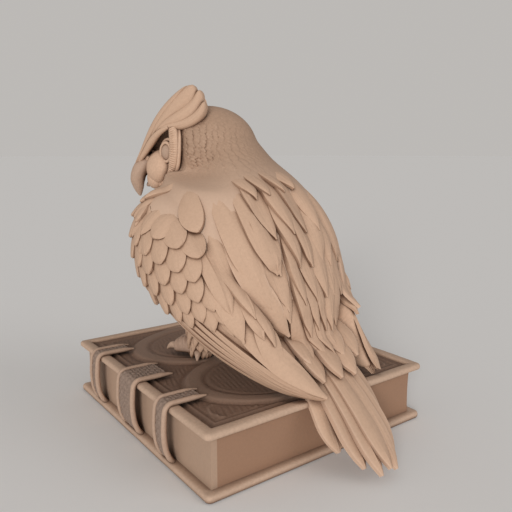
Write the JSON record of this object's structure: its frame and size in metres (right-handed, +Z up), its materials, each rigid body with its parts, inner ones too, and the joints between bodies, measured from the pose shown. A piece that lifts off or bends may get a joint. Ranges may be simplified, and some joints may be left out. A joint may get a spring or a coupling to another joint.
{
  "type": "owl figurine on a book",
  "caption": "Matt cast figurine of a feathered owl perched on a closed book, looking over its shoulder, with its tail hanging over the book's edge.",
  "frame": {"origin": "centre of the book's resting face, on the surface it stands on", "axes": "+Z up; +X towards the book's spine with its three straps; +Y towards the edge the tail hangs over, so the owl's body faces -Y"},
  "size_m": [0.1181, 0.1536, 0.1506],
  "materials": {
    "owl_resin": "matt cast resin",
    "head_resin": "matt cast resin",
    "cover_resin": "matt cast resin",
    "panel_resin": "matt cast resin",
    "page_resin": "matt cast resin",
    "felt": "short felt",
    "steel": "plain drawn rod"
  },
  "bodies": {
    "root": {"base_felt": "felt", "lower_cover": "cover_resin", "upper_cover": "cover_resin", "cover_panel": "panel_resin", "page_block": "page_resin", "spine_board": "page_resin", "near_strap": "panel_resin", "middle_strap": "panel_resin", "far_strap": "panel_resin", "near_strap_cords": "cover_resin", "middle_strap_cords": "cover_resin", "far_strap_cords": "cover_resin", "torso": "owl_resin", "back_feathers": "owl_resin", "head": "head_resin", "left_facial_disc": "head_resin", "right_facial_disc": "head_resin", "left_eye": "head_resin", "right_eye": "head_resin", "upper_beak": "head_resin", "lower_beak": "head_resin", "left_ear_tuft": "owl_resin", "right_ear_tuft": "owl_resin", "left_wing": "owl_resin", "right_wing": "owl_resin", "left_flight_feathers": "owl_resin", "right_flight_feathers": "owl_resin", "tail_feathers": "owl_resin", "left_leg": "owl_resin", "right_leg": "owl_resin", "left_foot": "head_resin", "right_foot": "head_resin", "left_talons": "head_resin", "right_talons": "head_resin", "neck_pin": "steel", "wing_pins": "steel", "leg_pins": "steel"}
  },
  "joints": []
}
